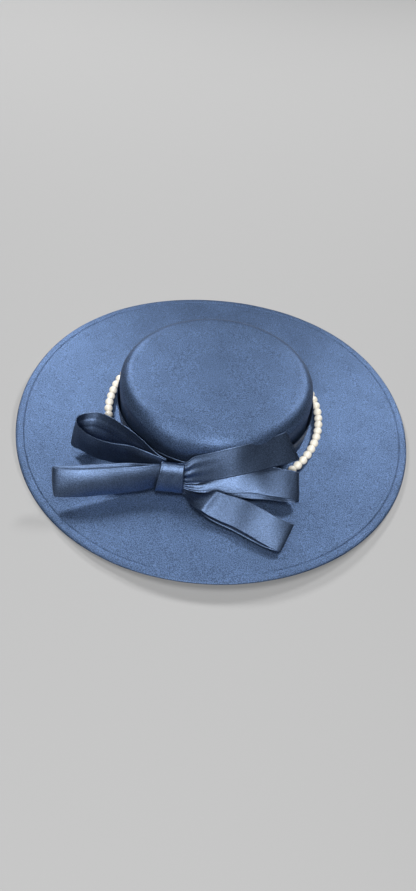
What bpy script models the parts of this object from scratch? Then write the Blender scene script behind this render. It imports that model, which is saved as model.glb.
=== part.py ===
"""A fascinator hat: a small round crown on a wide waved brim, both covered in satin, with a ribbon band, a string
of beads lying round it, a ribbon bow and a plain hair comb inside. Metres, +Z up, the bow faces -Y, and the
origin is under the middle of the hat on the surface that it rests on."""

import math

import bmesh
import bpy
import numpy as np
from mathutils import Vector

# Crown, a shallow oval pillbox
CROWN_WIDTH = 0.175
CROWN_DEPTH = 0.165
CROWN_HEIGHT = 0.052
CROWN_SHOULDER = 0.018
CROWN_WALL = 0.002

# Brim, which drops a little and waves round its edge
BRIM_WIDTH = 0.0975
BRIM_WALL = 0.002
BRIM_DROP = 0.0056
BRIM_WAVE_OF_THREE = 0.0031
BRIM_WAVE_OF_TWO = 0.0017
WAVE_OF_THREE_TURN = math.radians(19)
WAVE_OF_TWO_TURN = math.radians(65)

# Ribbon, a flat satin tube
RIBBON_WIDTH = 0.0254
RIBBON_WALL = 0.001
BAND_FLARE = 0.002

# String of beads on the brim
BEAD = 0.008
BEAD_STRING_OUT = 0.0083
BEAD_WAIST = 0.3
STRING_START = 0.068
STRING_END_SHORT = 0.016

# Knot of the bow
KNOT_ANGLE = math.radians(-20.6)
KNOT_WIDTH = 0.0247
KNOT_TOP_WIDTH = 0.0202
KNOT_HEIGHT = 0.0245
KNOT_TOP_DEPTH = 0.0045
KNOT_FOOT_DEPTH = 0.0155
KNOT_ROUND = 0.002

# Reach of each bow piece, round the band from the knot and out from the band
UPPER_LEFT_ROUND = 0.075
UPPER_LEFT_OUT = 0.043
LOWER_LEFT_ROUND = 0.0465
LOWER_LEFT_OUT = 0.079
MIDDLE_RIGHT_ROUND = 0.098
MIDDLE_RIGHT_OUT = 0.0285
LOWER_RIGHT_ROUND = 0.075
LOWER_RIGHT_OUT = 0.0665
TAIL_ROUND = 0.105
TAIL_CUT = 0.011

# Hair comb inside the back of the crown
COMB_WIDTH = 0.060
COMB_SPINE = 0.005
COMB_TEETH = 0.026
COMB_TOOTH = 0.0016
COMB_PITCH = 0.0036
COMB_THICK = 0.0015
COMB_LIFT = 0.004

GAP = 0.0003
ROUND_STEPS = 72
RIBBON_STEPS = 3

# Rows of a bow piece, from the knot out along its outer layer, round its tip and back along its inner layer.
# round: share of the piece's reach round the band. out: share of its reach out from the band's face.
# lift: height of the ribbon's middle above the crown's foot, in ribbon widths. lean: degrees from flat.
# width: share of the ribbon's width, less than 1 where it is gathered or cupped.
UPPER_LEFT_ROWS = (
    # round, out, lift, lean, width
    (-0.123, 0.165, 0.74, 86, 0.78),
    (-0.275, 0.250, 0.78, 87, 0.92),
    (-0.42, 0.34, 0.725, 88, 1.00),
    (-0.56, 0.555, 0.68, 88, 1.00),
    (-0.69, 0.755, 0.64, 86, 1.00),
    (-0.79, 0.87, 0.60, 84, 1.00),
    (-0.85, 0.93, 0.565, 80, 1.00),
    (-0.89, 0.975, 0.535, 73, 1.00),
    (-0.925, 0.995, 0.515, 66, 1.00),
    (-0.955, 0.98, 0.54, 60, 1.00),
    (-0.97, 0.91, 0.56, 57, 1.00),
    (-0.975, 0.735, 0.58, 55, 1.00),
    (-0.94, 0.52, 0.60, 55, 1.00),
    (-0.82, 0.31, 0.61, 56, 1.00),
    (-0.63, 0.18, 0.655, 57, 1.00),
    (-0.455, 0.155, 0.75, 60, 0.97),
    (-0.36, 0.15, 0.79, 66, 0.94),
    (-0.265, 0.14, 0.80, 76, 0.91),
    (-0.123, 0.12, 0.76, 86, 0.78),
)
LOWER_LEFT_ROWS = (
    # round, out, lift, lean, width
    (-0.175, 0.215, 0.55, 62, 0.85),
    (-0.47, 0.405, 0.48, 48, 0.86),
    (-0.68, 0.61, 0.48, 44, 0.86),
    (-0.86, 0.83, 0.47, 43, 0.87),
    (-0.97, 0.965, 0.46, 43, 0.92),
    (-1.00, 0.965, 0.38, 43, 0.96),
    (-0.97, 0.895, 0.31, 43, 1.00),
    (-0.86, 0.725, 0.29, 43, 1.00),
    (-0.68, 0.505, 0.31, 44, 1.00),
    (-0.47, 0.325, 0.335, 48, 0.97),
    (-0.175, 0.185, 0.47, 62, 0.86),
)
MIDDLE_RIGHT_ROWS = (
    # round, out, lift, lean, width
    (0.162, 0.39, 0.33, 25, 0.20),
    (0.26, 0.335, 0.33, 28, 0.38),
    (0.40, 0.27, 0.46, 42, 0.56),
    (0.665, 0.335, 0.66, 38, 0.85),
    (0.815, 0.515, 0.62, 25, 1.00),
    (0.934, 0.82, 0.555, 22, 1.00),
    (0.985, 0.98, 0.48, 24, 1.00),
    (1.00, 1.00, 0.38, 24, 1.00),
    (0.985, 0.93, 0.29, 26, 1.00),
    (0.934, 0.75, 0.27, 28, 1.00),
    (0.815, 0.485, 0.355, 28, 1.00),
    (0.665, 0.375, 0.39, 40, 0.85),
    (0.40, 0.22, 0.36, 44, 0.50),
    (0.26, 0.25, 0.24, 28, 0.36),
    (0.162, 0.33, 0.255, 25, 0.20),
)
LOWER_RIGHT_ROWS = (
    # round, out, lift, lean, width
    (0.235, 0.21, 0.14, 10, 0.20),
    (0.36, 0.33, 0.20, 14, 0.48),
    (0.49, 0.377, 0.295, 6, 0.85),
    (0.71, 0.55, 0.366, 9, 1.00),
    (0.84, 0.74, 0.425, 15, 1.00),
    (0.92, 0.877, 0.43, 18, 1.00),
    (0.98, 0.97, 0.38, 17, 1.00),
    (1.00, 0.985, 0.29, 17, 1.00),
    (0.98, 0.955, 0.20, 17, 1.00),
    (0.92, 0.865, 0.16, 14, 1.00),
    (0.84, 0.73, 0.145, 10, 1.00),
    (0.71, 0.548, 0.14, 6, 1.00),
    (0.49, 0.375, 0.145, 3, 0.85),
    (0.235, 0.192, 0.06, 10, 0.20),
)
TAIL_ROWS = (
    # round, out in ribbon widths, lift, lean, width
    (0.148, 0.21, 0.79, 68, 0.78),
    (0.235, 0.09, 0.97, 65, 0.98),
    (0.50, 0.03, 1.40, 64, 1.00),
    (0.775, -0.02, 1.49, 56, 1.00),
    (1.00, 0.17, 1.53, 54, 1.00),
)

COLOURS = {
    # red, green, blue, roughness
    "satin": (0.055, 0.095, 0.190, 0.55),
    "ribbon": (0.060, 0.105, 0.210, 0.40),
    "bead": (0.780, 0.740, 0.650, 0.25),
    "comb": (0.020, 0.022, 0.028, 0.35),
}


def clear_scene():
    for old in list(bpy.data.objects):
        bpy.data.objects.remove(old, do_unlink=True)


def new_material(name):
    red, green, blue, roughness = COLOURS[name]
    material = bpy.data.materials.new(name)
    material.use_nodes = True
    shader = material.node_tree.nodes["Principled BSDF"]
    shader.inputs["Base Color"].default_value = (red, green, blue, 1.0)
    shader.inputs["Roughness"].default_value = roughness
    shader.inputs["Metallic"].default_value = 0.0
    return material


def add_object(name, data, material):
    piece = bpy.data.objects.new(name, data)
    COLLECTION.objects.link(piece)
    data.materials.append(material)
    return piece


def mesh_from(name, points, faces):
    mesh = bpy.data.meshes.new(name)
    mesh.from_pydata([tuple(point) for point in points], [], faces)
    mesh.validate()
    return mesh


def solidify(piece, thickness, offset):
    shell = piece.modifiers.new("wall", "SOLIDIFY")
    shell.thickness = thickness
    shell.offset = offset


def shade_smooth(piece, angle=35):
    piece.data.shade_smooth()
    piece.data.set_sharp_from_angle(angle=math.radians(angle))


# Places on the hat. An angle runs from the front, -Y, towards +X.


def oval(half_width, half_depth, angle):
    return half_width * math.sin(angle), -half_depth * math.cos(angle)


def brim_sag(angle, share):
    """How far the brim lies below the crown's foot, at a share of its width out from the crown."""
    turn = angle - math.pi / 2
    wave = BRIM_WAVE_OF_THREE * math.sin(3 * turn - WAVE_OF_THREE_TURN)
    wave -= BRIM_WAVE_OF_TWO * math.cos(2 * turn - WAVE_OF_TWO_TURN)
    return share * (wave - BRIM_DROP)


def lowest_sag():
    angles = (2 * math.pi * step / ROUND_STEPS for step in range(ROUND_STEPS))
    return min(brim_sag(angle, 1.0) for angle in angles)


FOOT = BRIM_WALL - lowest_sag()
BAND_HALF_WIDTH = CROWN_WIDTH / 2 + BAND_FLARE + GAP + RIBBON_WALL
BAND_HALF_DEPTH = CROWN_DEPTH / 2 + BAND_FLARE + GAP + RIBBON_WALL


def band_walk():
    """Angles round the band's face and the distance round it from the knot to each."""
    angles = np.linspace(-math.pi, math.pi, 20 * ROUND_STEPS + 1)
    places = np.array([oval(BAND_HALF_WIDTH, BAND_HALF_DEPTH, angle) for angle in angles])
    steps = np.linalg.norm(np.diff(places, axis=0), axis=1)
    walked = np.concatenate([[0.0], np.cumsum(steps)])
    return angles, walked - np.interp(KNOT_ANGLE, angles, walked)


BAND_ANGLES, BAND_WALKED = band_walk()


def off_band(distance, out):
    """The place so far round the band from the knot, to the right if positive, and so far out from its face."""
    angle = np.interp(distance, BAND_WALKED, BAND_ANGLES)
    x, y = oval(BAND_HALF_WIDTH, BAND_HALF_DEPTH, angle)
    normal = Vector((x / BAND_HALF_WIDTH**2, y / BAND_HALF_DEPTH**2)).normalized()
    return x + out * normal.x, y + out * normal.y


# Crown, brim and band


def ring_surface(name, rings, closed_top=False):
    """An open surface through rings of points, with a fan from its first ring to a middle point if asked."""
    count = len(rings[0])
    points = [point for ring in rings for point in ring]
    faces = []
    for row in range(len(rings) - 1):
        for step in range(count):
            after = (step + 1) % count
            low = row * count
            faces.append((low + step, low + count + step, low + count + after, low + after))
    if closed_top:
        points.append((0.0, 0.0, rings[0][0][2]))
        middle = len(points) - 1
        faces += [(middle, step, (step + 1) % count) for step in range(count)]
    return mesh_from(name, points, faces)


def crown_ring(inset, height):
    ring = []
    for step in range(ROUND_STEPS):
        angle = 2 * math.pi * step / ROUND_STEPS
        x, y = oval(CROWN_WIDTH / 2 - inset, CROWN_DEPTH / 2 - inset, angle)
        ring.append((x, y, FOOT + height))
    return ring


def build_crown(material):
    """A flat top, a round shoulder and an upright wall, hollow and open below."""
    shoulder_steps = 5
    rings = [crown_ring(CROWN_SHOULDER * 1.9, CROWN_HEIGHT)]
    for step in range(shoulder_steps + 1):
        turn = math.pi / 2 * step / shoulder_steps
        inset = CROWN_SHOULDER * (1 - math.sin(turn))
        rings.append(crown_ring(inset, CROWN_HEIGHT - CROWN_SHOULDER * (1 - math.cos(turn))))
    rings.append(crown_ring(0.0, GAP))
    piece = add_object("crown", ring_surface("crown", rings, closed_top=True), material)
    shade_smooth(piece)
    solidify(piece, CROWN_WALL, -1.0)


def brim_ring(share):
    inner = CROWN_WALL
    ring = []
    for step in range(ROUND_STEPS):
        angle = 2 * math.pi * step / ROUND_STEPS
        grow = share * (BRIM_WIDTH + inner) - inner
        x, y = oval(CROWN_WIDTH / 2 + grow, CROWN_DEPTH / 2 + grow, angle)
        ring.append((x, y, FOOT + brim_sag(angle, max(grow, 0.0) / BRIM_WIDTH)))
    return ring


def build_brim(material):
    """A flat ring round the head opening, waving more and more towards its edge."""
    rings = [brim_ring(share) for share in (0.0, 0.12, 0.4, 0.7, 1.0)]
    piece = add_object("brim", ring_surface("brim", rings), material)
    shade_smooth(piece)
    solidify(piece, BRIM_WALL, -1.0)


def build_band(material):
    """The ribbon stands round the foot of the crown and leans away from it towards its top edge."""
    rings = []
    for share in (1.0, 0.5, 0.0):
        ring = []
        for step in range(ROUND_STEPS):
            angle = 2 * math.pi * step / ROUND_STEPS
            out = GAP + RIBBON_WALL + BAND_FLARE * share
            x, y = oval(CROWN_WIDTH / 2 + out, CROWN_DEPTH / 2 + out, angle)
            ring.append((x, y, FOOT + GAP + share * (RIBBON_WIDTH - GAP)))
        rings.append(ring)
    piece = add_object("band", ring_surface("band", rings), material)
    shade_smooth(piece)
    solidify(piece, RIBBON_WALL, -1.0)


# String of beads


def string_place(distance):
    """A point of the string's middle line, one bead radius above the brim."""
    x, y = off_band(distance, BEAD_STRING_OUT)
    angle = math.atan2(x, -y)
    share = (BEAD_STRING_OUT + BAND_HALF_WIDTH - CROWN_WIDTH / 2) / BRIM_WIDTH
    return x, y, FOOT + brim_sag(angle, share) + BEAD / 2 + GAP


def string_walk():
    """Points of the middle line, close together, from the string's start on the right round the back."""
    whole = BAND_WALKED[-1] - BAND_WALKED[0]
    ends = STRING_START, whole - STRING_END_SHORT
    points = []
    for distance in np.linspace(*ends, 20 * ROUND_STEPS):
        wrapped = distance if distance <= BAND_WALKED[-1] else distance - whole
        points.append(string_place(wrapped))
    return np.array(points)


def build_string(material):
    """One beaded tube: each bead has its full radius at its middle and a waist where it meets the next."""
    route = string_walk()
    steps = np.linalg.norm(np.diff(route, axis=0), axis=1)
    walked = np.concatenate([[0.0], np.cumsum(steps)])
    beads = int(walked[-1] / BEAD)
    places = []
    for bead in range(beads):
        for along, radius in ((-0.46, BEAD_WAIST), (-0.28, 0.84), (0.0, 1.0), (0.28, 0.84)):
            places.append((BEAD * (bead + 0.5 + along), radius))
    places.append((BEAD * (beads - 0.04), BEAD_WAIST))
    curve = bpy.data.curves.new("bead_string", "CURVE")
    curve.dimensions = "3D"
    curve.bevel_depth = BEAD / 2
    curve.bevel_resolution = 3
    curve.use_fill_caps = True
    spline = curve.splines.new("POLY")
    spline.points.add(len(places) - 1)
    for point, (distance, radius) in zip(spline.points, places):
        place = [np.interp(distance, walked, route[:, axis]) for axis in range(3)]
        point.co = (*place, 1.0)
        point.radius = radius
    add_object("bead_string", curve, material)


# Bow


def smooth_rows(rows):
    """Rows between the given ones, on a smooth curve through them."""
    given = np.array(rows)
    ends = np.vstack([2 * given[0] - given[1], given, 2 * given[-1] - given[-2]])
    smooth = []
    for row in range(len(given) - 1):
        before, start, end, after = ends[row : row + 4]
        for step in range(RIBBON_STEPS):
            t = step / RIBBON_STEPS
            bend = 2 * before - 5 * start + 4 * end - after
            twist = 3 * start - before - 3 * end + after
            smooth.append(start + 0.5 * t * (end - before + t * (bend + t * twist)))
    smooth.append(given[-1])
    return smooth


def build_ribbon(name, rows, reach_round, reach_out, material, cut=0.0):
    """A ribbon along its table of rows, flat across its width, with its end cut aslant where cut is given."""
    stations = []
    for round_share, out_share, lift, lean, width in smooth_rows(rows):
        x, y = off_band(round_share * reach_round, out_share * reach_out)
        stations.append((Vector((x, y, FOOT + lift * RIBBON_WIDTH)), math.radians(lean), width))
    start = stations[0][0]
    along = max((place - start for place, _, _ in stations), key=lambda way: way.xy.length)
    along.z = 0.0
    along.normalize()
    back = Vector((-along.y, along.x, 0.0))
    if back.y < 0:
        back = -back
    points = []
    for index, (place, lean, width) in enumerate(stations):
        across = math.cos(lean) * back + math.sin(lean) * Vector((0.0, 0.0, 1.0))
        for side in (-0.5, 0.5):
            point = place + across * (side * float(width) * RIBBON_WIDTH)
            if index == len(stations) - 1:
                point -= along * (side * cut)
            points.append(point)
    faces = [(i, i + 2, i + 3, i + 1) for i in range(0, len(points) - 2, 2)]
    piece = add_object(name, mesh_from(name, points, faces), material)
    solidify(piece, RIBBON_WALL, 0.0)
    shade_smooth(piece)


def rounded(corners, radius, steps=3):
    """A closed outline through the corners, each one rounded by a curve that starts so far from it."""
    outline = []
    for index, corner in enumerate(corners):
        corner = Vector(corner)
        before = corner + radius * (Vector(corners[index - 1]) - corner).normalized()
        after = corner + radius * (Vector(corners[(index + 1) % len(corners)]) - corner).normalized()
        for step in range(steps + 1):
            t = step / steps
            outline.append((1 - t) ** 2 * before + 2 * t * (1 - t) * corner + t**2 * after)
    return outline


def build_knot(material):
    """The ribbon wrapped round the gathered middle of the bow, wider and deeper at its foot."""
    middle = off_band(0.0, 0.0)[0]
    right = middle + KNOT_WIDTH / 2
    nearest = BAND_HALF_DEPTH * math.sqrt(1 - (right / BAND_HALF_WIDTH) ** 2)
    back = -nearest - GAP
    foot = FOOT + RIBBON_WALL + GAP
    top = foot + KNOT_HEIGHT
    corners = (
        (back, top),
        (back - KNOT_TOP_DEPTH, top),
        (back - KNOT_FOOT_DEPTH, foot + 2 * RIBBON_WALL),
        (back - KNOT_TOP_DEPTH, foot),
        (back, foot + 2 * RIBBON_WALL),
    )
    section = rounded(corners, KNOT_ROUND)
    count = len(section)
    points = []
    for side in (-1, 1):
        for y, z in section:
            taper = (KNOT_WIDTH - KNOT_TOP_WIDTH) * (z - foot) / KNOT_HEIGHT
            x = right if side > 0 else right - KNOT_WIDTH + taper
            points.append((x, y, z))
    faces = [(i, (i + 1) % count, count + (i + 1) % count, count + i) for i in range(count)]
    faces.append(tuple(reversed(range(count))))
    faces.append(tuple(range(count, 2 * count)))
    piece = add_object("bow_knot", mesh_from("bow_knot", points, faces), material)
    face_out(piece.data)
    shade_smooth(piece)


def face_out(mesh):
    shape = bmesh.new()
    shape.from_mesh(mesh)
    bmesh.ops.recalc_face_normals(shape, faces=shape.faces)
    shape.to_mesh(mesh)
    shape.free()


# Comb


def comb_outline():
    """The spine's back edge follows the crown's inner wall, and the teeth point to the middle of the crown."""
    half_width = CROWN_WIDTH / 2 - CROWN_WALL - GAP
    half_depth = CROWN_DEPTH / 2 - CROWN_WALL - GAP
    outline = []
    back_steps = 12
    for step in range(back_steps + 1):
        x = COMB_WIDTH * (step / back_steps - 0.5)
        outline.append((x, half_depth * math.sqrt(1 - (x / half_width) ** 2)))
    teeth = int((COMB_WIDTH - COMB_TOOTH) / COMB_PITCH) + 1
    first = COMB_PITCH * (teeth - 1) / 2
    root = outline[0][1] - COMB_SPINE
    outline.append((COMB_WIDTH / 2, root))
    for tooth in range(teeth):
        x = first - COMB_PITCH * tooth
        outline.append((x + COMB_TOOTH / 2, root))
        outline.append((x + COMB_TOOTH / 4, root - COMB_TEETH))
        outline.append((x - COMB_TOOTH / 4, root - COMB_TEETH))
        outline.append((x - COMB_TOOTH / 2, root))
    outline.append((-COMB_WIDTH / 2, root))
    return outline


def build_comb(material):
    curve = bpy.data.curves.new("hair_comb", "CURVE")
    curve.dimensions = "2D"
    curve.fill_mode = "BOTH"
    curve.extrude = COMB_THICK / 2
    spline = curve.splines.new("POLY")
    outline = comb_outline()
    spline.points.add(len(outline) - 1)
    for point, (x, y) in zip(spline.points, outline):
        point.co = (x, y, 0.0, 1.0)
    spline.use_cyclic_u = True
    piece = add_object("hair_comb", curve, material)
    piece.location = (0.0, 0.0, FOOT + COMB_LIFT)


clear_scene()
COLLECTION = bpy.data.collections.new("fascinator")
bpy.context.scene.collection.children.link(COLLECTION)
SATIN = new_material("satin")
RIBBON = new_material("ribbon")
build_crown(SATIN)
build_brim(SATIN)
build_band(RIBBON)
build_string(new_material("bead"))
build_knot(RIBBON)
build_ribbon("bow_loop_upper_left", UPPER_LEFT_ROWS, UPPER_LEFT_ROUND, UPPER_LEFT_OUT, RIBBON)
build_ribbon("bow_loop_lower_left", LOWER_LEFT_ROWS, LOWER_LEFT_ROUND, LOWER_LEFT_OUT, RIBBON)
build_ribbon("bow_loop_middle_right", MIDDLE_RIGHT_ROWS, MIDDLE_RIGHT_ROUND, MIDDLE_RIGHT_OUT, RIBBON)
build_ribbon("bow_loop_lower_right", LOWER_RIGHT_ROWS, LOWER_RIGHT_ROUND, LOWER_RIGHT_OUT, RIBBON)
build_ribbon("bow_tail_right", TAIL_ROWS, TAIL_ROUND, RIBBON_WIDTH, RIBBON, cut=TAIL_CUT)
build_comb(new_material("comb"))
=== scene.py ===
"""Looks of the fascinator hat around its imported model: satin crown and brim, ribbon band and bow,
pearl beads and a plain comb. Metres, +Z up, the bow faces -Y and the hat rests on the floor at z = 0."""

import math

import bmesh
import bpy
import numpy as np
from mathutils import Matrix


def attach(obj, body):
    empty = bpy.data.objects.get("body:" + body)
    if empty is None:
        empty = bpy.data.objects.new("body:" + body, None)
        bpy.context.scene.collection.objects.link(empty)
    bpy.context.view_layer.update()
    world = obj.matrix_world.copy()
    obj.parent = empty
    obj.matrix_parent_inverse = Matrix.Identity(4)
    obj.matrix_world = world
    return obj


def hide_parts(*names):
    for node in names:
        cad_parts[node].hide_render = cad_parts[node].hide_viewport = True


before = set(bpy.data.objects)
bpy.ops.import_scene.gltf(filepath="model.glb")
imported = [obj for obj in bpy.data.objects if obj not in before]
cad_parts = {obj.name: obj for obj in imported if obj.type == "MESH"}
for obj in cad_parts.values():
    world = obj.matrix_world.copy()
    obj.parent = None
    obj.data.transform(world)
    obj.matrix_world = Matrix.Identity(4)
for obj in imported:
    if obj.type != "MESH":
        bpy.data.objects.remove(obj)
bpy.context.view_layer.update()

MM = 0.001

# Sizes shared with the CAD model
CROWN_WIDTH = 0.175
CROWN_DEPTH = 0.165
CROWN_HEIGHT = 0.052
CROWN_SHOULDER = 0.018
CROWN_WALL = 0.002
BRIM_WIDTH = 0.0975
BRIM_WALL = 0.002
BRIM_DROP = 0.0056
BRIM_WAVE_OF_THREE = 0.0031
BRIM_WAVE_OF_TWO = 0.0017
WAVE_OF_THREE_TURN = math.radians(19)
WAVE_OF_TWO_TURN = math.radians(65)
RIBBON_WIDTH = 0.0254
RIBBON_WALL = 0.001
BAND_FLARE = 0.002
BEAD = 0.008
BEAD_STRING_OUT = 0.0083
STRING_START = 0.068
STRING_END_SHORT = 0.016
KNOT_ANGLE = math.radians(-20.6)
KNOT_WIDTH = 0.0247
KNOT_TOP_WIDTH = 0.0202
KNOT_HEIGHT = 0.0245
GAP = 0.0003
CAD_ROUND_STEPS = 72

UPPER_LEFT_ROUND, UPPER_LEFT_OUT = 0.075, 0.043
LOWER_LEFT_ROUND, LOWER_LEFT_OUT = 0.0465, 0.079
MIDDLE_RIGHT_ROUND, MIDDLE_RIGHT_OUT = 0.098, 0.0285
LOWER_RIGHT_ROUND, LOWER_RIGHT_OUT = 0.075, 0.0665
TAIL_ROUND, TAIL_CUT = 0.105, 0.011
# Distance from the knot, slant, height, and lengths over which the ridge rises and falls.
LOWER_RIGHT_CREASE = (0.040, 0.002, 4.5 * MM, 0.014, 0.007)

# Rows of a bow piece, from the knot out along its outer layer, round its tip and back along its inner layer.
# round: share of the piece's reach round the band. out: share of its reach out from the band's face.
# lift: height of the ribbon's middle above the crown's foot, in ribbon widths. lean: degrees from flat.
# width: share of the ribbon's width. cup: how far its middle stands out, in ribbon widths.
UPPER_LEFT_ROWS = (
    (-0.03, 0.12, 0.7, 86, 0.66, 0.00),
    (-0.123, 0.165, 0.74, 86, 0.78, 0.02),
    (-0.275, 0.25, 0.78, 87, 0.92, 0.03),
    (-0.42, 0.34, 0.725, 88, 1.00, 0.03),
    (-0.56, 0.555, 0.68, 88, 1.00, 0.02),
    (-0.69, 0.755, 0.64, 86, 1.00, 0.01),
    (-0.79, 0.87, 0.6, 84, 1.00, 0.00),
    (-0.85, 0.93, 0.565, 80, 1.00, 0.00),
    (-0.89, 0.975, 0.535, 73, 1.00, 0.00),
    (-0.925, 0.995, 0.515, 66, 1.00, 0.00),
    (-0.955, 0.98, 0.54, 60, 1.00, 0.00),
    (-0.97, 0.91, 0.56, 57, 1.00, 0.00),
    (-0.975, 0.735, 0.58, 55, 1.00, 0.00),
    (-0.94, 0.52, 0.6, 55, 1.00, 0.00),
    (-0.82, 0.31, 0.61, 56, 1.00, 0.00),
    (-0.63, 0.18, 0.655, 57, 1.00, 0.00),
    (-0.455, 0.155, 0.75, 60, 0.97, 0.00),
    (-0.36, 0.15, 0.79, 66, 0.94, 0.00),
    (-0.265, 0.14, 0.8, 76, 0.91, 0.00),
    (-0.123, 0.12, 0.76, 86, 0.78, 0.00),
    (-0.03, 0.09, 0.72, 86, 0.66, 0.00),
)
LOWER_LEFT_ROWS = (
    (-0.05, 0.13, 0.55, 66, 0.72, 0.10),
    (-0.175, 0.215, 0.53, 66, 0.87, 0.06),
    (-0.47, 0.405, 0.44, 62, 0.94, 0.08),
    (-0.68, 0.61, 0.43, 60, 0.97, 0.09),
    (-0.86, 0.83, 0.42, 57, 0.98, 0.09),
    (-0.97, 0.965, 0.41, 50, 0.98, 0.05),
    (-1, 0.965, 0.37, 45, 0.98, 0.02),
    (-0.97, 0.895, 0.34, 44, 1.00, 0.00),
    (-0.86, 0.725, 0.33, 44, 1.00, 0.00),
    (-0.68, 0.505, 0.34, 45, 1.00, 0.00),
    (-0.47, 0.325, 0.36, 49, 0.97, 0.00),
    (-0.175, 0.185, 0.47, 62, 0.86, 0.00),
    (-0.05, 0.12, 0.52, 66, 0.72, 0.00),
)
MIDDLE_RIGHT_ROWS = (
    (0.05, 0.36, 0.36, 40, 0.20, 0.00),
    (0.162, 0.39, 0.33, 25, 0.20, 0.00),
    (0.26, 0.335, 0.33, 28, 0.38, 0.02),
    (0.40, 0.27, 0.46, 42, 0.56, 0.03),
    (0.665, 0.335, 0.66, 38, 0.85, 0.03),
    (0.815, 0.515, 0.62, 25, 1.00, 0.01),
    (0.934, 0.82, 0.555, 22, 1.00, 0.00),
    (0.985, 0.98, 0.48, 24, 1.00, 0.00),
    (1.00, 1.00, 0.38, 24, 1.00, 0.00),
    (0.985, 0.93, 0.29, 26, 1.00, 0.00),
    (0.934, 0.75, 0.27, 28, 1.00, 0.00),
    (0.815, 0.485, 0.355, 28, 1.00, 0.00),
    (0.665, 0.375, 0.39, 40, 0.85, 0.00),
    (0.40, 0.22, 0.36, 44, 0.50, 0.00),
    (0.26, 0.25, 0.24, 28, 0.36, 0.00),
    (0.162, 0.33, 0.255, 25, 0.20, 0.00),
    (0.05, 0.34, 0.30, 40, 0.20, 0.00),
)
LOWER_RIGHT_ROWS = (
    (0.08, 0.16, 0.20, 30, 0.20, 0.00),
    (0.235, 0.21, 0.14, 12, 0.20, 0.00),
    (0.36, 0.33, 0.21, 18, 0.48, 0.04),
    (0.49, 0.377, 0.31, 18, 0.82, 0.03),
    (0.60, 0.454, 0.38, 22, 0.92, 0.01),
    (0.71, 0.55, 0.42, 26, 0.96, 0.00),
    (0.82, 0.71, 0.43, 28, 0.97, 0.00),
    (0.90, 0.85, 0.385, 25, 0.98, 0.00),
    (0.965, 0.95, 0.315, 20, 1.00, 0.00),
    (1.00, 0.985, 0.245, 18, 1.00, 0.00),
    (0.98, 0.955, 0.195, 17, 1.00, 0.00),
    (0.92, 0.865, 0.16, 14, 1.00, 0.00),
    (0.84, 0.73, 0.145, 10, 1.00, 0.00),
    (0.71, 0.548, 0.14, 6, 1.00, 0.00),
    (0.49, 0.375, 0.145, 3, 0.85, 0.00),
    (0.235, 0.192, 0.06, 10, 0.20, 0.00),
    (0.08, 0.15, 0.10, 20, 0.20, 0.00),
)
TAIL_ROWS = (
    (0.06, 0.26, 0.72, 70, 0.60, 0.02),
    (0.148, 0.21, 0.79, 68, 0.78, 0.06),
    (0.235, 0.12, 0.97, 60, 0.98, 0.03),
    (0.50, 0.09, 1.40, 54, 1.00, 0.00),
    (0.775, 0.06, 1.46, 49, 1.00, 0.00),
    (1.00, 0.21, 1.47, 48, 1.00, 0.00),
)


# Places on the hat. An angle runs from the front, -Y, towards +X.


def oval(half_width, half_depth, angle):
    """Places on an oval round the hat's middle."""
    return half_width * np.sin(angle), -half_depth * np.cos(angle)


def brim_sag(angle, share):
    """Height of the brim's top face against the crown's foot, at a share of the way out to its edge."""
    turn = angle - math.pi / 2
    wave = BRIM_WAVE_OF_THREE * np.sin(3 * turn - WAVE_OF_THREE_TURN)
    wave = wave - BRIM_WAVE_OF_TWO * np.cos(2 * turn - WAVE_OF_TWO_TURN)
    return share * (wave - BRIM_DROP)


CAD_ANGLES = np.arange(CAD_ROUND_STEPS) * 2 * math.pi / CAD_ROUND_STEPS
FOOT = BRIM_WALL - brim_sag(CAD_ANGLES, 1.0).min()
BAND_HALF_WIDTH = CROWN_WIDTH / 2 + BAND_FLARE + GAP + RIBBON_WALL
BAND_HALF_DEPTH = CROWN_DEPTH / 2 + BAND_FLARE + GAP + RIBBON_WALL


def band_walk():
    """Angles round the hat, and how far each lies from the knot along the band's face."""
    angles = np.linspace(-math.pi, math.pi, 20 * CAD_ROUND_STEPS + 1)
    places = np.stack(oval(BAND_HALF_WIDTH, BAND_HALF_DEPTH, angles), axis=1)
    steps = np.linalg.norm(np.diff(places, axis=0), axis=1)
    walked = np.concatenate([[0.0], np.cumsum(steps)])
    return angles, walked - np.interp(KNOT_ANGLE, angles, walked)


BAND_ANGLES, BAND_WALKED = band_walk()


def off_band(distance, out):
    """Places so far round the band from the knot, to the right if positive, and so far out from its face."""
    angle = np.interp(distance, BAND_WALKED, BAND_ANGLES)
    x, y = oval(BAND_HALF_WIDTH, BAND_HALF_DEPTH, angle)
    normal = np.stack([x / BAND_HALF_WIDTH**2, y / BAND_HALF_DEPTH**2], axis=-1)
    normal /= np.linalg.norm(normal, axis=-1, keepdims=True)
    return x + out * normal[..., 0], y + out * normal[..., 1]


# Meshes


def unit(vectors):
    """The same directions, one long."""
    return vectors / np.maximum(np.linalg.norm(vectors, axis=-1, keepdims=True), 1e-9)


def add_piece(name, points, faces, material, replaced=()):
    """A closed smooth mesh with its faces outwards, riding on the hat in place of the replaced nodes."""
    mesh = bpy.data.meshes.new(name)
    mesh.from_pydata(np.asarray(points).tolist(), [], faces)
    mesh.validate()
    shell = bmesh.new()
    shell.from_mesh(mesh)
    if shell.calc_volume(signed=True) < 0:
        bmesh.ops.reverse_faces(shell, faces=shell.faces)
        shell.to_mesh(mesh)
    shell.free()
    mesh.shade_smooth()
    mesh.materials.append(material)
    piece = bpy.data.objects.new(name, mesh)
    bpy.context.scene.collection.objects.link(piece)
    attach(piece, "root")
    if replaced:
        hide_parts(*replaced)
    return piece


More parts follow.
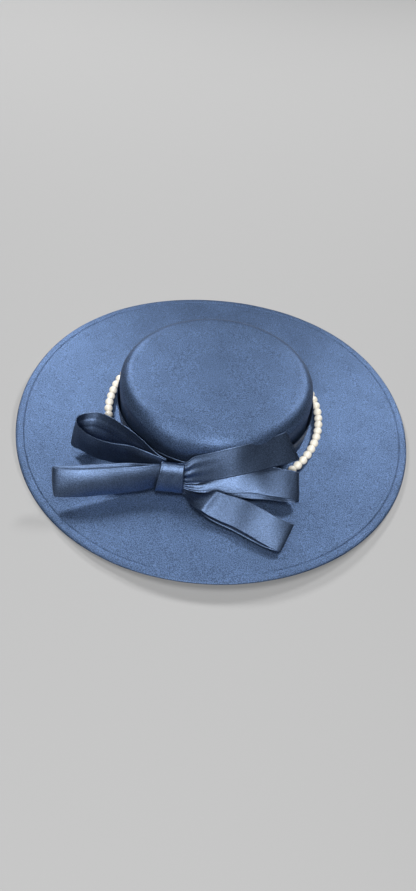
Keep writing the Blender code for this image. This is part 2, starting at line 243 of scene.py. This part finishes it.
def lattice_faces(rows, columns, wrap_rows, wrap_columns, first=0):
    """Quads over a grid of points, which may close on itself along its rows, its columns or both."""
    faces = []
    for row in range(rows if wrap_rows else rows - 1):
        here = first + row * columns
        there = first + ((row + 1) % rows) * columns
        for column in range(columns if wrap_columns else columns - 1):
            after = (column + 1) % columns
            faces.append((here + column, there + column, there + after, here + after))
    return faces


def round_angles(steps):
    return np.arange(steps) * 2 * math.pi / steps


def smooth_noise(rng, steps, waves):
    """A closed wavy line of unit size, the same for the same generator state."""
    angles = round_angles(steps)
    line = np.zeros(steps)
    for wave in waves:
        line += rng.normal() * np.cos(wave * angles) + rng.normal() * np.sin(wave * angles)
    return line / np.abs(line).max()


def cloth_swell(x, y, seed, shortest, longest, height, count=9):
    """Low soft swells of a cloth over its base: plane waves between two lengths."""
    rng = np.random.default_rng(seed)
    rise = 0.0
    for _ in range(count):
        turn, phase = rng.uniform(0, 2 * math.pi, 2)
        reach = 2 * math.pi / rng.uniform(shortest, longest)
        rise = rise + np.sin(reach * (x * math.cos(turn) + y * math.sin(turn)) + phase)
    return rise * height / math.sqrt(count)


# Crown. Its shoulder is tighter than the CAD model's, but for a slack place at the front left.

CROWN_ROUND_STEPS = 288
CROWN_DOME = 0.0020
CROWN_SOFTEN = 0.0018
SHOULDER_TAKEN = 0.006
SLACK_SHOULDER = 0.009
SLACK_ANGLE = math.radians(-18)
SLACK_WIDTH = math.radians(17)
CROWN_RIM_IN = 0.034
SECTION_STEP = 0.0002
# Rings at shares of the way from the middle of the top to the foot: first share, last share and count.
TOP_RINGS = (0.03, 0.5, 15)
WALL_RINGS = (0.51, 1.0, 52)
INNER_FOOT_LIFT = 0.3
# Seed, shortest and longest wave, and height of the swells in the satin.
CROWN_SWELL = (51, 0.03, 0.07, 0.10 * MM)
SWELL_FADE = 5


def crown_section(wall, height, shoulder):
    """Distance in from the wall and height above the foot, from the middle of the top down to the foot."""
    reach = CROWN_DEPTH / 2 - wall
    step = SECTION_STEP
    flat = reach - shoulder
    first = 2 * CROWN_DOME / flat
    walked = np.arange(0.0, reach + height + shoulder, step)
    bend = np.clip((walked - flat) / (shoulder * (math.pi / 2 - first)), 0.0, 1.0)
    slope = first * np.minimum(walked / flat, 1.0) + (math.pi / 2 - first) * bend
    spread = np.arange(-4 * CROWN_SOFTEN, 4 * CROWN_SOFTEN + step, step)
    weight = np.exp(-0.5 * (spread / CROWN_SOFTEN) ** 2)
    padded = np.pad(slope, len(spread) // 2, mode="edge")
    slope = np.convolve(padded, weight / weight.sum(), mode="valid")[: len(walked)]
    out = np.concatenate([[0.0], np.cumsum(np.cos(slope[1:]) * step)])
    fall = np.concatenate([[0.0], np.cumsum(np.sin(slope[1:]) * step)])
    out *= reach / out[-1]
    return out, height + CROWN_DOME - fall, walked


def build_crown(material):
    steps = CROWN_ROUND_STEPS
    angles = round_angles(steps)
    from_slack = (angles - SLACK_ANGLE + math.pi) % (2 * math.pi) - math.pi
    slack = np.exp(-((from_slack / SLACK_WIDTH) ** 2))
    rings = []

    def shell(wall, height, reverse):
        """Rings of one face, from the middle of the top to the foot."""
        half_width = CROWN_WIDTH / 2 - wall
        half_depth = CROWN_DEPTH / 2 - wall
        tight = crown_section(wall, height, CROWN_SHOULDER - SHOULDER_TAKEN - wall)
        loose = crown_section(wall, height, CROWN_SHOULDER - SHOULDER_TAKEN - wall + SLACK_SHOULDER)
        low = GAP + wall * INNER_FOOT_LIFT
        shares = np.concatenate([np.linspace(*TOP_RINGS), np.linspace(*WALL_RINGS)])
        rows = []
        for share in shares:
            places = []
            for out, rise, walked in (tight, loose):
                end = np.interp(-low, -rise, walked)
                places.append((np.interp(share * end, walked, out), np.interp(share * end, walked, rise)))
            (tight_out, tight_rise), (loose_out, loose_rise) = places
            inset = half_depth - (tight_out + (loose_out - tight_out) * slack)
            rise = tight_rise + (loose_rise - tight_rise) * slack
            inner = (half_depth - inset) / (half_depth - CROWN_RIM_IN)
            near = inset <= CROWN_RIM_IN
            wide = np.where(near, half_width - inset, inner * (half_width - CROWN_RIM_IN))
            deep = np.where(near, half_depth - inset, inner * (half_depth - CROWN_RIM_IN))
            x, y = oval(wide, deep, angles)
            swell = cloth_swell(x, y, *CROWN_SWELL) * min(1.0, (1.0 - share) * SWELL_FADE)
            rows.append(np.stack([x, y, FOOT + rise + swell], axis=1))
        rings.extend(rows[::-1] if reverse else rows)

    shell(0.0, CROWN_HEIGHT, False)
    shell(CROWN_WALL, CROWN_HEIGHT - CROWN_WALL, True)
    points = np.concatenate(rings)
    faces = lattice_faces(len(rings), steps, False, True)
    last = (len(rings) - 1) * steps
    middle = [points[:steps].mean(axis=0), points[last:].mean(axis=0)]
    top = len(points)
    for step in range(steps):
        after = (step + 1) % steps
        faces.append((top, step, after))
        faces.append((top + 1, last + after, last + step))
    points = np.concatenate([points, middle])
    return add_piece("crown_cover", points, faces, material, ["crown"])


# Brim

BRIM_ROUND_STEPS = 480
# Rings at distances out from the crown's wall: first, last and count.
PLAIN_RINGS = (-CROWN_WALL, 0.083, 30)
HEM_RINGS = (0.085, 0.0945, 36)
# Rings round the brim's edge, from near its top to straight under it, in degrees, and their count.
EDGE_RINGS = (75, -90, 12)
HEM_IN = 0.007
HEM_GROOVE = 0.00022
HEM_GROOVE_WIDTH = 0.00055
HEM_PAD = 0.00008
HEM_PAD_RISE = 0.002
EDGE_ROUND = 0.00105
PUCKER = 0.05 * MM
PUCKER_REACH = 0.0022
BRIM_UNEVEN = 0.15 * MM
BRIM_SWELL = (52, 0.028, 0.07, 0.11 * MM)
BRIM_SWELL_FADE = 3

STITCH_PITCH = 0.0030
STITCH_LENGTH = 0.0021
STITCH_THICK = 0.00018
STITCH_SIDES = 6
STITCH_LIFT = 0.05 * MM
# along: share of the stitch's length. wide and rise: shares of its thickness.
STITCH_SHAPE = ((0.0, 0.2, -0.25), (0.2, 0.9, 0.1), (0.5, 1.0, 0.3), (0.8, 0.9, 0.1), (1.0, 0.2, -0.25))
PATH_STEPS = 6000
AHEAD = 1e-4


def brim_lift(out):
    """How far the top face stands above the plain brim: padded hem and stitched groove."""
    from_edge = BRIM_WIDTH - out
    pad = HEM_PAD * np.clip((HEM_IN - from_edge) / HEM_PAD_RISE, 0.0, 1.0)
    groove = HEM_GROOVE * np.exp(-(((from_edge - HEM_IN) / HEM_GROOVE_WIDTH) ** 2))
    return pad - groove


def build_brim(material):
    steps = BRIM_ROUND_STEPS
    angles = round_angles(steps)
    rng = np.random.default_rng(11)
    pucker = smooth_noise(rng, steps, range(40, 120, 3))
    slow = smooth_noise(rng, steps, range(3, 12))
    outs = np.concatenate([np.linspace(*PLAIN_RINGS), np.linspace(*HEM_RINGS)])
    rings = []

    def ring(out, rise):
        x, y = oval(CROWN_WIDTH / 2 + out, CROWN_DEPTH / 2 + out, angles)
        share = max(out, 0.0) / BRIM_WIDTH
        from_hem = abs(BRIM_WIDTH - out - HEM_IN)
        z = FOOT + brim_sag(angles, share) + rise
        z = z + PUCKER * pucker * math.exp(-((from_hem / PUCKER_REACH) ** 2)) + BRIM_UNEVEN * slow * share
        z = z + cloth_swell(x, y, *BRIM_SWELL) * min(1.0, share * BRIM_SWELL_FADE)
        rings.append(np.stack([x, y, z], axis=1))

    for out in outs:
        ring(out, brim_lift(out))
    for turn in np.linspace(*EDGE_RINGS):
        way = math.radians(turn)
        out = BRIM_WIDTH - EDGE_ROUND + EDGE_ROUND * math.cos(way)
        ring(out, -BRIM_WALL + EDGE_ROUND * (1 + math.sin(way)))
    for out in outs[::-1]:
        ring(out, -BRIM_WALL)
    points = np.concatenate(rings)
    faces = lattice_faces(len(rings), steps, True, True)
    return add_piece("brim_cover", points, faces, material, ["brim"])


def build_stitches(material):
    """Short threads sunk in the hem's groove."""
    thick, sides, shape = STITCH_THICK, STITCH_SIDES, STITCH_SHAPE
    fine = np.linspace(0, 2 * math.pi, PATH_STEPS)
    out = BRIM_WIDTH - HEM_IN
    x, y = oval(CROWN_WIDTH / 2 + out, CROWN_DEPTH / 2 + out, fine)
    z = FOOT + brim_sag(fine, out / BRIM_WIDTH) - HEM_GROOVE + STITCH_LIFT
    path = np.stack([x, y, z + cloth_swell(x, y, *BRIM_SWELL)], axis=1)
    walked = np.concatenate([[0.0], np.cumsum(np.linalg.norm(np.diff(path, axis=0), axis=1))])
    count = int(walked[-1] / STITCH_PITCH)
    points, faces = [], []
    for stitch in range(count):
        start = walked[-1] * stitch / count
        first = len(points)
        for along, wide, rise in shape:
            at = start + along * STITCH_LENGTH
            place = np.array([np.interp(at, walked, path[:, axis]) for axis in range(3)])
            ahead = np.array([np.interp(at + AHEAD, walked, path[:, axis]) for axis in range(3)])
            way = unit(ahead - place)
            side = unit(np.cross(way, [0, 0, 1.0]))
            lift = np.cross(side, way)
            for corner in range(sides):
                turn = 2 * math.pi * corner / sides
                points.append(
                    place
                    + side * thick * wide * math.cos(turn)
                    + lift * thick * (wide * math.sin(turn) + rise)
                )
        faces += lattice_faces(len(shape), sides, False, True, first)
        last = first + (len(shape) - 1) * sides
        faces.append(tuple(range(first, first + sides)))
        faces.append(tuple(reversed(range(last, last + sides))))
    return add_piece("hem_stitches", np.array(points), faces, material)


# Ribbon

# A flat satin tube: square edges, a slightly thicker fold near each, and an overlap seam underneath.
# Places across it run from -1 to 1.
SQUARENESS = 14
BODY_SHARE = 0.86
EDGE_FOLD = 0.16 * MM
EDGE_FOLD_AT = 0.94
EDGE_FOLD_WIDTH = 0.04
SEAM_STEP = 0.30 * MM
SEAM_FROM = -0.02
SEAM_TO = 0.42
SEAM_SLOPE = 0.03
ROW_STEPS = 8
WIDE_STEPS = 32
EDGE_CROWDING = 0.55
FOLD_REACH = 0.020
RIBBON_SWELL = 0.14 * MM
RIBBON_SWELL_SHORTEST = 0.018
RIBBON_SWELL_LONGEST = 0.045
CREASE_START = 0.012
# Steps across the band and the knot's wrap.
WRAP_WIDE_STEPS = 24

BAND_ROUND_STEPS = 360
BAND_WAVE_OUT = 0.35 * MM
BAND_WAVE_UP = 0.2 * MM

# Places round the knot's wrap: out from the band's face and height above the foot, in millimetres.
KNOT_WRAP = (
    (-0.6, 21.5),
    (-2.0, 24.4),
    (-5.0, 24.6),
    (-8.6, 21.6),
    (-11.6, 16.6),
    (-14.2, 11.0),
    (-15.5, 6.0),
    (-15.2, 2.6),
    (-12.6, 0.7),
    (-7.0, 0.3),
    (-2.0, 0.8),
    (-0.6, 3.5),
    (-0.5, 12.0),
)
KNOT_ROW_STEPS = 6
KNOT_BOW = 0.25 * MM
KNOT_RIPPLE = 0.12 * MM
KNOT_RIPPLE_TURNS = 7


def ribbon_section(across, seam=True):
    """Half thickness above and below a flat satin tube at places across it from -1 to 1."""
    body = RIBBON_WALL / 2 * np.sqrt(np.maximum(1 - np.abs(across) ** SQUARENESS, 0.0))
    fold = EDGE_FOLD * np.exp(-(((np.abs(across) - EDGE_FOLD_AT) / EDGE_FOLD_WIDTH) ** 2))
    upper = body * BODY_SHARE + fold
    if not seam:
        return upper, upper
    rising = np.clip((across - SEAM_FROM) / SEAM_SLOPE, 0, 1)
    falling = np.clip((SEAM_TO - across) / SEAM_SLOPE, 0, 1)
    return upper, upper + SEAM_STEP * rising * falling


def smooth_rows(rows, steps):
    """Rows between the given ones, on a smooth curve through them."""
    given = np.array(rows, float)
    ends = np.vstack([2 * given[0] - given[1], given, 2 * given[-1] - given[-2]])
    smooth = []
    for row in range(len(given) - 1):
        before, start, end, after = ends[row : row + 4]
        for step in range(steps):
            t = step / steps
            bend = 2 * before - 5 * start + 4 * end - after
            twist = 3 * start - before - 3 * end + after
            smooth.append(start + 0.5 * t * (end - before + t * (bend + t * twist)))
    smooth.append(given[-1])
    return np.array(smooth)


def ribbon_sheet(rows, reach_round, reach_out, side, folds, fold_depth, seed, cut=0.0, crease=None):
    """Upper and lower points of a ribbon in rows along it, and its length.

    side is 1 where it runs to the right. folds and fold_depth are the gathers that fade away from the knot,
    cut is how far its end is cut aslant, and crease is one ridge across its outer layer.
    """
    steps = ROW_STEPS
    table = smooth_rows(rows, steps)
    x, y = off_band(table[:, 0] * reach_round, table[:, 1] * reach_out)
    place = np.stack([x, y, FOOT + table[:, 2] * RIBBON_WIDTH], axis=1)
    lean, width, cup = np.radians(table[:, 3]), table[:, 4], table[:, 5]
    reach = place - place[0]
    furthest = np.argmax(np.linalg.norm(reach[:, :2], axis=1))
    along = np.array([reach[furthest, 0], reach[furthest, 1], 0.0])
    along /= np.linalg.norm(along)
    back = np.array([-along[1], along[0], 0.0])
    if back[1] < 0:
        back = -back
    across = np.cos(lean)[:, None] * back + np.sin(lean)[:, None] * np.array([0.0, 0.0, 1.0])
    normal = unit(np.cross(unit(np.gradient(place, axis=0)), across)) * side
    spaced = np.linspace(-1, 1, WIDE_STEPS + 1)
    shares = EDGE_CROWDING * np.sin(spaced * math.pi / 2) + (1 - EDGE_CROWDING) * spaced
    upper, lower = ribbon_section(shares)
    walked = np.concatenate([[0.0], np.cumsum(np.linalg.norm(np.diff(place, axis=0), axis=1))])
    from_knot = walked if cut else np.minimum(walked, walked[-1] - walked)
    rng = np.random.default_rng(seed)
    phase, drift = rng.uniform(0, 2 * math.pi), rng.uniform(-0.5, 0.5)
    depth = fold_depth * np.exp(-((from_knot / FOLD_REACH) ** 2))
    wave = np.sin(math.pi * folds * shares[None, :] + phase + drift * from_knot[:, None] / FOLD_REACH)
    rise = cup[:, None] * RIBBON_WIDTH * (1 - shares[None, :] ** 2) + depth[:, None] * wave
    swell = cloth_swell(
        walked[:, None],
        shares[None, :] * RIBBON_WIDTH / 2,
        seed + 60,
        RIBBON_SWELL_SHORTEST,
        RIBBON_SWELL_LONGEST,
        RIBBON_SWELL,
    )
    rise = rise + swell * np.clip(from_knot / FOLD_REACH, 0, 1)[:, None]
    if crease is not None:
        at, slant, ridge, rising, falling = crease
        past = walked[:, None] - at - slant * shares[None, :]
        first = (np.arange(len(walked)) <= furthest)[:, None]
        hump = np.where(past < 0, np.exp(-((past / rising) ** 2)), np.exp(-past / falling))
        rise = rise + ridge * hump * first * np.clip(walked / CREASE_START, 0, 1)[:, None]
    half = 0.5 * width[:, None] * RIBBON_WIDTH * shares[None, :]
    middle = place[:, None, :] + across[:, None, :] * half[..., None] + normal[:, None, :] * rise[..., None]
    if cut:
        for row in range(1, steps):
            share = 1.0 if row == 1 else 1 - (row - 1) / steps
            middle[-row] -= along * (cut * 0.5 * shares)[:, None] * share
    facing = unit(np.cross(np.gradient(middle, axis=0), np.gradient(middle, axis=1))) * side
    return middle + facing * upper[None, :, None], middle - facing * lower[None, :, None], walked[-1]


def build_ribbon(name, node, material, held, rests_on, *shape, **details):
    """A loop or tail of the bow as a closed ribbon. shape and details are what ribbon_sheet takes."""
    top, bottom, length = ribbon_sheet(*shape, **details)
    rows, columns = top.shape[:2]
    section = np.concatenate([top, bottom[:, ::-1]], axis=1)
    size = section.shape[1]
    faces = lattice_faces(rows, size, False, True)
    for base, turned in ((0, False), ((rows - 1) * size, True)):
        for column in range(columns - 1):
            quad = (base + column, base + column + 1, base + size - 2 - column, base + size - 1 - column)
            faces.append(quad[::-1] if turned else quad)
    piece = add_piece(name, section.reshape(-1, 3), faces, material, [node])
    return piece


def build_band(material):
    steps = BAND_ROUND_STEPS
    angles = round_angles(steps)
    rng = np.random.default_rng(21)
    wavy = smooth_noise(rng, steps, range(2, 14))
    wide = WRAP_WIDE_STEPS
    shares = np.linspace(-1, 1, wide + 1)
    upper, lower = ribbon_section(shares, seam=False)
    rings = []

    def ring(share, outward):
        rise = (share + 1) / 2
        out = GAP + RIBBON_WALL / 2 + BAND_FLARE * rise + outward + BAND_WAVE_OUT * wavy * rise
        x, y = oval(CROWN_WIDTH / 2 + out, CROWN_DEPTH / 2 + out, angles)
        z = FOOT + GAP + rise * (RIBBON_WIDTH - GAP) + BAND_WAVE_UP * wavy * rise
        rings.append(np.stack([x, y, z], axis=1))

    for share, thick in zip(shares, upper):
        ring(share, thick)
    for share, thick in zip(shares[::-1], lower[::-1]):
        ring(share, -thick)
    faces = lattice_faces(len(rings), steps, True, True)
    piece = add_piece("band_ribbon", np.concatenate(rings), faces, material, ["band"])
    return piece


def build_knot(material):
    """The ribbon wrapped round the middle of the bow, with the gathers' shape showing through it."""
    middle = off_band(np.array(0.0), np.array(0.0))[0]
    right = middle + KNOT_WIDTH / 2
    nearest = BAND_HALF_DEPTH * math.sqrt(1 - (right / BAND_HALF_WIDTH) ** 2)
    back = -nearest - GAP
    foot = FOOT + RIBBON_WALL + GAP
    wrap = np.array(KNOT_WRAP) * MM
    route = smooth_rows(np.vstack([wrap[-1:], wrap, wrap[:1]]), KNOT_ROW_STEPS)
    route = route[KNOT_ROW_STEPS:-1]
    count = len(route)
    shares = np.linspace(-1, 1, WRAP_WIDE_STEPS + 1)
    upper, lower = ribbon_section(shares, seam=False)
    ahead = np.roll(route, -1, axis=0) - np.roll(route, 1, axis=0)
    ahead /= np.linalg.norm(ahead, axis=1, keepdims=True)
    normal = np.stack([ahead[:, 1], -ahead[:, 0]], axis=1)
    rng = np.random.default_rng(31)
    wave = smooth_noise(rng, count, range(1, 6))
    top, bottom = [], []
    for index in range(count):
        y, z = route[index]
        taper = (KNOT_WIDTH - KNOT_TOP_WIDTH) * min(max(z / KNOT_HEIGHT, 0), 1)
        left = right - KNOT_WIDTH + taper
        half = (right - left) / 2
        centre = (right + left) / 2
        ripple = np.sin(shares * KNOT_RIPPLE_TURNS + 2 * wave[index])
        bow = KNOT_BOW * (1 - shares**2) + KNOT_RIPPLE * ripple
        for face, thick, sign in ((top, upper, 1), (bottom, lower, -1)):
            shift = bow + sign * thick - RIBBON_WALL / 2
            inwards = normal[index, :, None] * -shift
            across = centre + half * shares
            face.append(np.stack([across, back + y + inwards[0], foot + z + inwards[1]], axis=1))
    section = np.concatenate([np.array(top), np.array(bottom)[:, ::-1]], axis=1)
    points = section.reshape(-1, 3)
    faces = lattice_faces(count, section.shape[1], True, True)
    piece = add_piece("knot_wrap", points, faces, material, ["bow_knot"])
    return piece


# Beads

BEAD_SHARE = 0.985
BEAD_UNEVEN = 0.08 * MM
THREAD_RADIUS = 0.35 * MM


def string_place(distance):
    """Middles of beads lying on the brim, so far round the band from the knot."""
    x, y = off_band(distance, BEAD_STRING_OUT)
    angle = np.arctan2(x, -y)
    share = (BEAD_STRING_OUT + BAND_HALF_WIDTH - CROWN_WIDTH / 2) / BRIM_WIDTH
    return np.stack([x, y, FOOT + brim_sag(angle, share) + BEAD / 2 + GAP], axis=-1)


def string_route():
    """The string from its one end behind the bow, round the back, to the other."""
    whole = BAND_WALKED[-1] - BAND_WALKED[0]
    distances = np.linspace(STRING_START, whole - STRING_END_SHORT, 20 * CAD_ROUND_STEPS)
    distances = np.where(distances <= BAND_WALKED[-1], distances, distances - whole)
    return string_place(distances)


def unit_ball(round_steps=20, high_steps=12):
    """Points and faces of a ball of radius 1."""
    points = [(0, 0, 1.0)]
    for row in range(1, high_steps):
        polar = math.pi * row / high_steps
        wide = math.sin(polar)
        for step in range(round_steps):
            turn = 2 * math.pi * step / round_steps
            points.append((wide * math.cos(turn), wide * math.sin(turn), math.cos(polar)))
    points.append((0, 0, -1.0))
    faces = [(0, 1 + step, 1 + (step + 1) % round_steps) for step in range(round_steps)]
    faces += lattice_faces(high_steps - 1, round_steps, False, True, 1)
    low = 1 + (high_steps - 2) * round_steps
    last = len(points) - 1
    faces += [(last, low + (step + 1) % round_steps, low + step) for step in range(round_steps)]
    return np.array(points), faces


def build_pearls(material, thread):
    """The beads as one piece, and the thread that shows between them."""
    route = string_route()
    walked = np.concatenate([[0.0], np.cumsum(np.linalg.norm(np.diff(route, axis=0), axis=1))])
    beads = int(walked[-1] / BEAD)
    ball, ball_faces = unit_ball()
    points, faces = [], []
    rng = np.random.default_rng(41)
    centres = []
    for bead in range(beads):
        at = BEAD * (bead + 0.5)
        centre = np.array([np.interp(at, walked, route[:, axis]) for axis in range(3)])
        centres.append(centre + rng.normal(size=3) * BEAD_UNEVEN)
    for centre in centres:
        faces += [tuple(corner + len(points) for corner in face) for face in ball_faces]
        points += list(centre + ball * BEAD / 2 * BEAD_SHARE)
    piece = add_piece("pearls", np.array(points), faces, material, ["bead_string"])
    curve = bpy.data.curves.new("pearl_thread", "CURVE")
    curve.dimensions = "3D"
    curve.bevel_depth = THREAD_RADIUS
    curve.bevel_resolution = 1
    spline = curve.splines.new("POLY")
    spline.points.add(beads)
    for index, point in enumerate(spline.points):
        at = BEAD * index
        point.co = (*[np.interp(at, walked, route[:, axis]) for axis in range(3)], 1.0)
    curve.materials.append(thread)
    string = bpy.data.objects.new("pearl_thread", curve)
    bpy.context.scene.collection.objects.link(string)
    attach(string, "root")
    return piece


# Materials

NOISE_ROUGHNESS = 0.6
GRAIN_RANGE = (0.38, 0.62)
PATCH_RANGE = (0.3, 0.7)


def new_material(name, colour, roughness, **sockets):
    """A plain material. sockets are further inputs of its shader, with _ for a space."""
    material = bpy.data.materials.new(name)
    material.use_nodes = True
    shader = material.node_tree.nodes["Principled BSDF"]
    shader.inputs["Base Color"].default_value = (*colour, 1.0)
    shader.inputs["Roughness"].default_value = roughness
    for socket, value in sockets.items():
        shader.inputs[socket.replace("_", " ")].default_value = value
    return material


def noise_node(tree, size, detail):
    place = tree.nodes.new("ShaderNodeTexCoord")
    noise = tree.nodes.new("ShaderNodeTexNoise")
    noise.inputs["Scale"].default_value = 1 / size
    noise.inputs["Detail"].default_value = detail
    noise.inputs["Roughness"].default_value = NOISE_ROUGHNESS
    tree.links.new(place.outputs["Object"], noise.inputs["Vector"])
    return noise


def grain(material, size, depth, dark, light, patch=0.035, patch_change=0.10):
    """Uneven surface, and threads and patches that shine more or less.

    size and depth are the grain's, in metres. dark and light are the ends of its brightness.
    """
    tree = material.node_tree
    shader = tree.nodes["Principled BSDF"]
    colour = np.array(shader.inputs["Base Color"].default_value[:3])
    bump = tree.nodes.new("ShaderNodeBump")
    bump.inputs["Strength"].default_value = 1.0
    bump.inputs["Distance"].default_value = depth
    tree.links.new(noise_node(tree, size, 3.0).outputs["Fac"], bump.inputs["Height"])
    tree.links.new(bump.outputs["Normal"], shader.inputs["Normal"])
    ramp = tree.nodes.new("ShaderNodeValToRGB")
    for stop, place, share in zip(ramp.color_ramp.elements, GRAIN_RANGE, (dark, light)):
        stop.position = place
        stop.color = (*(colour * share), 1.0)
    tree.links.new(noise_node(tree, size * 0.8, 1.0).outputs["Fac"], ramp.inputs["Fac"])
    shade = tree.nodes.new("ShaderNodeMapRange")
    shade.inputs["From Min"].default_value = PATCH_RANGE[0]
    shade.inputs["From Max"].default_value = PATCH_RANGE[1]
    shade.inputs["To Min"].default_value = 1 - patch_change
    shade.inputs["To Max"].default_value = 1 + patch_change
    tree.links.new(noise_node(tree, patch, 2.0).outputs["Fac"], shade.inputs["Value"])
    mixed = tree.nodes.new("ShaderNodeVectorMath")
    mixed.operation = "SCALE"
    tree.links.new(ramp.outputs["Color"], mixed.inputs[0])
    tree.links.new(shade.outputs["Result"], mixed.inputs["Scale"])
    tree.links.new(mixed.outputs["Vector"], shader.inputs["Base Color"])


SATIN = new_material("satin", colour=(0.078, 0.124, 0.225), roughness=0.51, Metallic=0.96)
grain(SATIN, size=0.0010, depth=0.00026, dark=0.66, light=1.58)
RIBBON = new_material("ribbon", colour=(0.082, 0.122, 0.208), roughness=0.44, Metallic=0.96)
grain(RIBBON, size=0.0010, depth=0.00016, dark=0.75, light=1.32)
PEARL = new_material("pearl", colour=(0.93, 0.88, 0.77), roughness=0.20, Coat_Weight=0.5, Coat_Roughness=0.10)
grain(PEARL, size=0.0030, depth=0.00001, dark=0.96, light=1.03)
THREAD = new_material("thread", colour=(0.80, 0.76, 0.68), roughness=0.6)
grain(THREAD, size=0.0006, depth=0.00003, dark=0.9, light=1.05)
COMB = new_material("comb", colour=(0.02, 0.022, 0.028), roughness=0.35)
grain(COMB, size=0.0010, depth=0.00001, dark=0.9, light=1.1)
FLOOR = new_material("floor", colour=(0.40, 0.40, 0.40), roughness=0.9)


# The hat's pieces

build_crown(SATIN)
build_brim(SATIN)
build_stitches(SATIN)
build_band(RIBBON)
build_knot(RIBBON)
build_ribbon(
    "loop_upper_left",
    "bow_loop_upper_left",
    RIBBON,
    "gathered",
    ["band_ribbon", "pearls", "brim_cover"],
    UPPER_LEFT_ROWS,
    UPPER_LEFT_ROUND,
    UPPER_LEFT_OUT,
    side=-1,
    folds=1,
    fold_depth=0.3 * MM,
    seed=2,
)
build_ribbon(
    "loop_lower_left",
    "bow_loop_lower_left",
    RIBBON,
    "gathered",
    ["brim_cover"],
    LOWER_LEFT_ROWS,
    LOWER_LEFT_ROUND,
    LOWER_LEFT_OUT,
    side=-1,
    folds=1,
    fold_depth=0.2 * MM,
    seed=3,
)
build_ribbon(
    "loop_middle_right",
    "bow_loop_middle_right",
    RIBBON,
    "gathered",
    ["brim_cover"],
    MIDDLE_RIGHT_ROWS,
    MIDDLE_RIGHT_ROUND,
    MIDDLE_RIGHT_OUT,
    side=1,
    folds=3,
    fold_depth=0.75 * MM,
    seed=4,
)
build_ribbon(
    "loop_lower_right",
    "bow_loop_lower_right",
    RIBBON,
    "gathered",
    ["brim_cover"],
    LOWER_RIGHT_ROWS,
    LOWER_RIGHT_ROUND,
    LOWER_RIGHT_OUT,
    side=1,
    folds=3,
    fold_depth=0.6 * MM,
    seed=5,
    crease=LOWER_RIGHT_CREASE,
)
build_ribbon(
    "tail_right",
    "bow_tail_right",
    RIBBON,
    "laid",
    ["band_ribbon", "crown_cover"],
    TAIL_ROWS,
    TAIL_ROUND,
    RIBBON_WIDTH,
    side=1,
    folds=3,
    fold_depth=0.8 * MM,
    seed=6,
    cut=TAIL_CUT,
)
build_pearls(PEARL, THREAD)
for material_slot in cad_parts["hair_comb"].material_slots:
    material_slot.material = COMB


# Floor, lights and camera

FLOOR_SIZE = 30.0
LIGHT_DISTANCE = 2.0
# Name, azimuth from behind, +Y, towards +X, elevation, both in degrees, size in metres and power in watts.
LIGHTS = (
    ("left_light", -32, 38, 0.42, 19),
    ("right_light", 34, 38, 0.36, 16),
    ("front_light", 187, 44, 0.55, 26),
    ("top_light", 180, 82, 1.1, 15),
)
STUDIO_BRIGHTNESS = 0.008
FILM_HEIGHT = 36.0
IMAGE_HEIGHT_PIXELS = 891.0
FOCAL_PIXELS = 669.0
CAMERA_PLACE = (0.0, -0.432598, 0.479333)
CAMERA_TURN_DEGREES = (39.8337, -3.5110, 4.5411)


def build_floor():
    bpy.ops.mesh.primitive_plane_add(size=FLOOR_SIZE, location=(0, 0, 0))
    floor = bpy.context.active_object
    floor.name = "floor"
    floor.data.materials.append(FLOOR)


def add_light(name, azimuth, elevation, size, power):
    """A round area light aimed at the hat."""
    turn, rise = math.radians(azimuth), math.radians(elevation)
    data = bpy.data.lights.new(name, "AREA")
    data.shape = "DISK"
    data.size = size
    data.energy = power
    light = bpy.data.objects.new(name, data)
    light.location = (
        LIGHT_DISTANCE * math.cos(rise) * math.sin(turn),
        LIGHT_DISTANCE * math.cos(rise) * math.cos(turn),
        LIGHT_DISTANCE * math.sin(rise),
    )
    light.rotation_euler = (math.pi / 2 - rise, 0.0, math.pi - turn)
    bpy.context.scene.collection.objects.link(light)


build_floor()
for light_row in LIGHTS:
    add_light(*light_row)

world = bpy.data.worlds.new("studio")
world.use_nodes = True
world.node_tree.nodes["Background"].inputs["Color"].default_value = (1.0, 1.0, 1.0, 1.0)
world.node_tree.nodes["Background"].inputs["Strength"].default_value = STUDIO_BRIGHTNESS
bpy.context.scene.world = world
bpy.context.scene.view_settings.view_transform = "Standard"

camera_data = bpy.data.cameras.new("camera")
camera_data.sensor_fit = "VERTICAL"
camera_data.sensor_height = FILM_HEIGHT
camera_data.lens = FILM_HEIGHT * FOCAL_PIXELS / IMAGE_HEIGHT_PIXELS
camera = bpy.data.objects.new("camera", camera_data)
camera.location = CAMERA_PLACE
camera.rotation_euler = [math.radians(turn) for turn in CAMERA_TURN_DEGREES]
bpy.context.scene.collection.objects.link(camera)
bpy.context.scene.camera = camera
